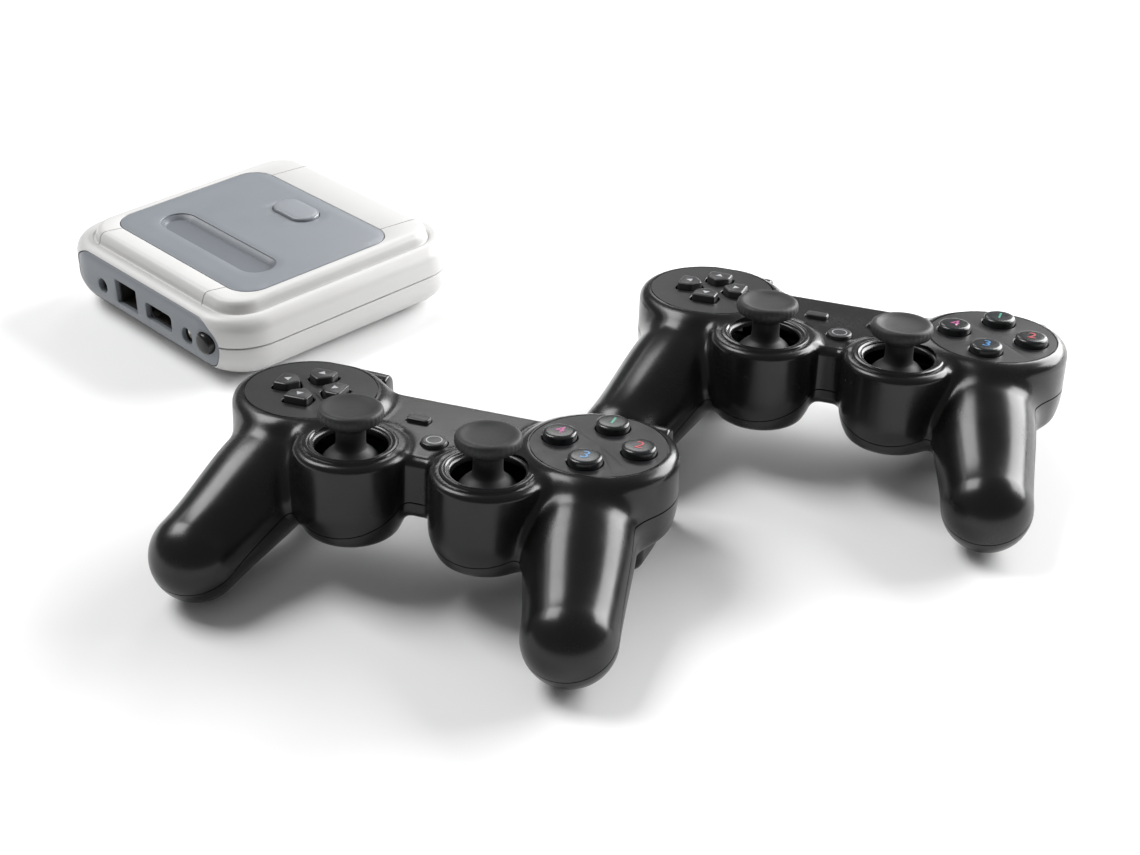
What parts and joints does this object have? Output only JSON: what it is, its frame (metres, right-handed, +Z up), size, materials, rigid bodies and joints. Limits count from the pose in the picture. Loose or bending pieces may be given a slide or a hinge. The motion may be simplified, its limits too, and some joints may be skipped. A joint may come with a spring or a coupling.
{
  "type": "game console with gamepads",
  "caption": "Small square game console with a round-shouldered casing, side ports and push keys, and twin-grip wireless gamepads with tilting sticks, buttons and triggers.",
  "frame": {"origin": "centre of the set's bounding box on the surface that it stands on", "axes": "+Z up; the console's port side faces -Y; the gamepads lie towards +X, turned 26 degrees about +Z"},
  "size_m": [0.3612, 0.2877, 0.0565],
  "materials": {
    "cream_plastic": "fine matt moulded off-white",
    "grey_plastic": "satin blue-grey",
    "key_plastic": "satin blue-grey, slightly lighter",
    "gloss_black": "polished black",
    "black_plastic": "satin black",
    "button_green": "smoked black with a green numeral",
    "button_red": "smoked black with a red numeral",
    "button_blue": "smoked black with a blue numeral",
    "button_pink": "smoked black with a pink numeral",
    "socket_metal": "nickel-plated sheet",
    "circuit_board": "green solder mask",
    "alloy": "plain",
    "rubber": "matt black"
  },
  "bodies": {
    "console": {"av_jack": "black_plastic", "base_shell": "cream_plastic", "card_slot": "socket_metal", "dc_jack": "black_plastic", "foot_1": "rubber", "foot_2": "rubber", "foot_3": "rubber", "foot_4": "rubber", "hdmi_socket": "socket_metal", "heat_sink": "alloy", "lan_jack": "socket_metal", "lid_panel": "grey_plastic", "main_board": "circuit_board", "port_panel": "grey_plastic", "top_shell": "cream_plastic", "trim_strip_front": "cream_plastic", "trim_strip_rear": "cream_plastic", "usb_socket": "socket_metal"},
    "power_button": {"power_button": "gloss_black"},
    "top_key": {"top_key": "key_plastic"},
    "pad_1": {"pad_1_upper_shell": "gloss_black", "pad_1_lower_shell": "gloss_black", "pad_1_circuit_board": "circuit_board"},
    "pad_1_dpad_pivot": {"pad_1_dpad_pivot": "alloy"},
    "pad_1_dpad": {"pad_1_dpad": "black_plastic"},
    "pad_1_gimbal_left": {"pad_1_gimbal_left": "alloy"},
    "pad_1_stick_left": {"pad_1_stick_left": "rubber"},
    "pad_1_gimbal_right": {"pad_1_gimbal_right": "alloy"},
    "pad_1_stick_right": {"pad_1_stick_right": "rubber"},
    "pad_1_l1": {"pad_1_l1": "gloss_black"},
    "pad_1_l2": {"pad_1_l2": "gloss_black"},
    "pad_1_r1": {"pad_1_r1": "gloss_black"},
    "pad_1_r2": {"pad_1_r2": "gloss_black"},
    "pad_1_select_button": {"pad_1_select_button": "black_plastic"},
    "pad_1_start_button": {"pad_1_start_button": "black_plastic"},
    "pad_1_mode_button": {"pad_1_mode_button": "black_plastic"},
    "pad_1_button_1": {"pad_1_button_1": "button_green"},
    "pad_1_button_2": {"pad_1_button_2": "button_red"},
    "pad_1_button_3": {"pad_1_button_3": "button_blue"},
    "pad_1_button_4": {"pad_1_button_4": "button_pink"},
    "pad_2": {"pad_2_upper_shell": "gloss_black", "pad_2_lower_shell": "gloss_black", "pad_2_circuit_board": "circuit_board"},
    "pad_2_dpad_pivot": {"pad_2_dpad_pivot": "alloy"},
    "pad_2_dpad": {"pad_2_dpad": "black_plastic"},
    "pad_2_gimbal_left": {"pad_2_gimbal_left": "alloy"},
    "pad_2_stick_left": {"pad_2_stick_left": "rubber"},
    "pad_2_gimbal_right": {"pad_2_gimbal_right": "alloy"},
    "pad_2_stick_right": {"pad_2_stick_right": "rubber"},
    "pad_2_l1": {"pad_2_l1": "gloss_black"},
    "pad_2_l2": {"pad_2_l2": "gloss_black"},
    "pad_2_r1": {"pad_2_r1": "gloss_black"},
    "pad_2_r2": {"pad_2_r2": "gloss_black"},
    "pad_2_select_button": {"pad_2_select_button": "black_plastic"},
    "pad_2_start_button": {"pad_2_start_button": "black_plastic"},
    "pad_2_mode_button": {"pad_2_mode_button": "black_plastic"},
    "pad_2_button_1": {"pad_2_button_1": "button_green"},
    "pad_2_button_2": {"pad_2_button_2": "button_red"},
    "pad_2_button_3": {"pad_2_button_3": "button_blue"},
    "pad_2_button_4": {"pad_2_button_4": "button_pink"}
  },
  "joints": [
    {"name": "power_button_press", "type": "slide", "parent": "console", "child": "power_button", "axis": [0, 1, 0], "range_m": [0, 0.001], "stiffness_N_per_m": 600},
    {"name": "top_key_press", "type": "slide", "parent": "console", "child": "top_key", "axis": [0, 0, -1], "range_m": [0, 0.0009], "stiffness_N_per_m": 600},
    {"name": "pad_1_lift", "type": "slide", "parent": "console", "child": "pad_1", "axis": [0, 0, 1], "range_m": [0, 0.1]},
    {"name": "pad_1_dpad_rock_x", "type": "hinge", "parent": "pad_1", "child": "pad_1_dpad_pivot", "pos_m": [0.00371, -0.07297, 0.03712], "axis": [0.8988, 0.4384, 0], "range_deg": [-3, 3], "stiffness_Nm_per_rad": 0.06},
    {"name": "pad_1_dpad_rock_y", "type": "hinge", "parent": "pad_1_dpad_pivot", "child": "pad_1_dpad", "pos_m": [0.00371, -0.07297, 0.03712], "axis": [-0.4361, 0.8941, -0.1024], "range_deg": [-3, 3], "stiffness_Nm_per_rad": 0.06},
    {"name": "pad_1_stick_left_tilt_x", "type": "hinge", "parent": "pad_1", "child": "pad_1_gimbal_left", "pos_m": [0.03784, -0.08479, 0.03271], "axis": [0.8988, 0.4384, 0], "range_deg": [-17, 17], "stiffness_Nm_per_rad": 0.06},
    {"name": "pad_1_stick_left_tilt_y", "type": "hinge", "parent": "pad_1_gimbal_left", "child": "pad_1_stick_left", "pos_m": [0.03784, -0.08479, 0.03271], "axis": [-0.4361, 0.8941, -0.1024], "range_deg": [-17, 17], "stiffness_Nm_per_rad": 0.06},
    {"name": "pad_1_stick_right_tilt_x", "type": "hinge", "parent": "pad_1", "child": "pad_1_gimbal_right", "pos_m": [0.07739, -0.0655, 0.03271], "axis": [0.8988, 0.4384, 0], "range_deg": [-17, 17], "stiffness_Nm_per_rad": 0.06},
    {"name": "pad_1_stick_right_tilt_y", "type": "hinge", "parent": "pad_1_gimbal_right", "child": "pad_1_stick_right", "pos_m": [0.07739, -0.0655, 0.03271], "axis": [-0.4361, 0.8941, -0.1024], "range_deg": [-17, 17], "stiffness_Nm_per_rad": 0.06},
    {"name": "pad_1_l1_press", "type": "slide", "parent": "pad_1", "child": "pad_1_l1", "axis": [0.4361, -0.8941, 0.1024], "range_m": [0, 0.0014], "stiffness_N_per_m": 500},
    {"name": "pad_1_r1_press", "type": "slide", "parent": "pad_1", "child": "pad_1_r1", "axis": [0.4361, -0.8941, 0.1024], "range_m": [0, 0.0014], "stiffness_N_per_m": 500},
    {"name": "pad_1_l2_pull", "type": "hinge", "parent": "pad_1", "child": "pad_1_l2", "pos_m": [-0.00428, -0.0566, 0.02267], "axis": [-0.8988, -0.4384, 0], "range_deg": [0, 12], "stiffness_Nm_per_rad": 0.25},
    {"name": "pad_1_r2_pull", "type": "hinge", "parent": "pad_1", "child": "pad_1_r2", "pos_m": [0.08111, -0.01495, 0.02267], "axis": [-0.8988, -0.4384, 0], "range_deg": [0, 12], "stiffness_Nm_per_rad": 0.25},
    {"name": "pad_1_select_button_press", "type": "slide", "parent": "pad_1", "child": "pad_1_select_button", "axis": [0.0449, -0.0921, -0.9947], "range_m": [0, 0.0008], "stiffness_N_per_m": 400},
    {"name": "pad_1_start_button_press", "type": "slide", "parent": "pad_1", "child": "pad_1_start_button", "axis": [0.0449, -0.0921, -0.9947], "range_m": [0, 0.0008], "stiffness_N_per_m": 400},
    {"name": "pad_1_mode_button_press", "type": "slide", "parent": "pad_1", "child": "pad_1_mode_button", "axis": [0.0449, -0.0921, -0.9947], "range_m": [0, 0.0008], "stiffness_N_per_m": 400},
    {"name": "pad_1_button_1_press", "type": "slide", "parent": "pad_1", "child": "pad_1_button_1", "axis": [0.0449, -0.0921, -0.9947], "range_m": [0, 0.0015], "stiffness_N_per_m": 400},
    {"name": "pad_1_button_2_press", "type": "slide", "parent": "pad_1", "child": "pad_1_button_2", "axis": [0.0449, -0.0921, -0.9947], "range_m": [0, 0.0015], "stiffness_N_per_m": 400},
    {"name": "pad_1_button_3_press", "type": "slide", "parent": "pad_1", "child": "pad_1_button_3", "axis": [0.0449, -0.0921, -0.9947], "range_m": [0, 0.0015], "stiffness_N_per_m": 400},
    {"name": "pad_1_button_4_press", "type": "slide", "parent": "pad_1", "child": "pad_1_button_4", "axis": [0.0449, -0.0921, -0.9947], "range_m": [0, 0.0015], "stiffness_N_per_m": 400},
    {"name": "pad_2_lift", "type": "slide", "parent": "console", "child": "pad_2", "axis": [0, 0, 1], "range_m": [0, 0.1]},
    {"name": "pad_2_dpad_rock_x", "type": "hinge", "parent": "pad_2", "child": "pad_2_dpad_pivot", "pos_m": [0.04471, 0.06603, 0.03712], "axis": [0.8988, 0.4384, 0], "range_deg": [-3, 3], "stiffness_Nm_per_rad": 0.06},
    {"name": "pad_2_dpad_rock_y", "type": "hinge", "parent": "pad_2_dpad_pivot", "child": "pad_2_dpad", "pos_m": [0.04471, 0.06603, 0.03712], "axis": [-0.4361, 0.8941, -0.1024], "range_deg": [-3, 3], "stiffness_Nm_per_rad": 0.06},
    {"name": "pad_2_stick_left_tilt_x", "type": "hinge", "parent": "pad_2", "child": "pad_2_gimbal_left", "pos_m": [0.07884, 0.05421, 0.03271], "axis": [0.8988, 0.4384, 0], "range_deg": [-17, 17], "stiffness_Nm_per_rad": 0.06},
    {"name": "pad_2_stick_left_tilt_y", "type": "hinge", "parent": "pad_2_gimbal_left", "child": "pad_2_stick_left", "pos_m": [0.07884, 0.05421, 0.03271], "axis": [-0.4361, 0.8941, -0.1024], "range_deg": [-17, 17], "stiffness_Nm_per_rad": 0.06},
    {"name": "pad_2_stick_right_tilt_x", "type": "hinge", "parent": "pad_2", "child": "pad_2_gimbal_right", "pos_m": [0.11839, 0.0735, 0.03271], "axis": [0.8988, 0.4384, 0], "range_deg": [-17, 17], "stiffness_Nm_per_rad": 0.06},
    {"name": "pad_2_stick_right_tilt_y", "type": "hinge", "parent": "pad_2_gimbal_right", "child": "pad_2_stick_right", "pos_m": [0.11839, 0.0735, 0.03271], "axis": [-0.4361, 0.8941, -0.1024], "range_deg": [-17, 17], "stiffness_Nm_per_rad": 0.06},
    {"name": "pad_2_l1_press", "type": "slide", "parent": "pad_2", "child": "pad_2_l1", "axis": [0.4361, -0.8941, 0.1024], "range_m": [0, 0.0014], "stiffness_N_per_m": 500},
    {"name": "pad_2_r1_press", "type": "slide", "parent": "pad_2", "child": "pad_2_r1", "axis": [0.4361, -0.8941, 0.1024], "range_m": [0, 0.0014], "stiffness_N_per_m": 500},
    {"name": "pad_2_l2_pull", "type": "hinge", "parent": "pad_2", "child": "pad_2_l2", "pos_m": [0.03672, 0.0824, 0.02267], "axis": [-0.8988, -0.4384, 0], "range_deg": [0, 12], "stiffness_Nm_per_rad": 0.25},
    {"name": "pad_2_r2_pull", "type": "hinge", "parent": "pad_2", "child": "pad_2_r2", "pos_m": [0.12211, 0.12405, 0.02267], "axis": [-0.8988, -0.4384, 0], "range_deg": [0, 12], "stiffness_Nm_per_rad": 0.25},
    {"name": "pad_2_select_button_press", "type": "slide", "parent": "pad_2", "child": "pad_2_select_button", "axis": [0.0449, -0.0921, -0.9947], "range_m": [0, 0.0008], "stiffness_N_per_m": 400},
    {"name": "pad_2_start_button_press", "type": "slide", "parent": "pad_2", "child": "pad_2_start_button", "axis": [0.0449, -0.0921, -0.9947], "range_m": [0, 0.0008], "stiffness_N_per_m": 400},
    {"name": "pad_2_mode_button_press", "type": "slide", "parent": "pad_2", "child": "pad_2_mode_button", "axis": [0.0449, -0.0921, -0.9947], "range_m": [0, 0.0008], "stiffness_N_per_m": 400},
    {"name": "pad_2_button_1_press", "type": "slide", "parent": "pad_2", "child": "pad_2_button_1", "axis": [0.0449, -0.0921, -0.9947], "range_m": [0, 0.0015], "stiffness_N_per_m": 400},
    {"name": "pad_2_button_2_press", "type": "slide", "parent": "pad_2", "child": "pad_2_button_2", "axis": [0.0449, -0.0921, -0.9947], "range_m": [0, 0.0015], "stiffness_N_per_m": 400},
    {"name": "pad_2_button_3_press", "type": "slide", "parent": "pad_2", "child": "pad_2_button_3", "axis": [0.0449, -0.0921, -0.9947], "range_m": [0, 0.0015], "stiffness_N_per_m": 400},
    {"name": "pad_2_button_4_press", "type": "slide", "parent": "pad_2", "child": "pad_2_button_4", "axis": [0.0449, -0.0921, -0.9947], "range_m": [0, 0.0015], "stiffness_N_per_m": 400}
  ]
}
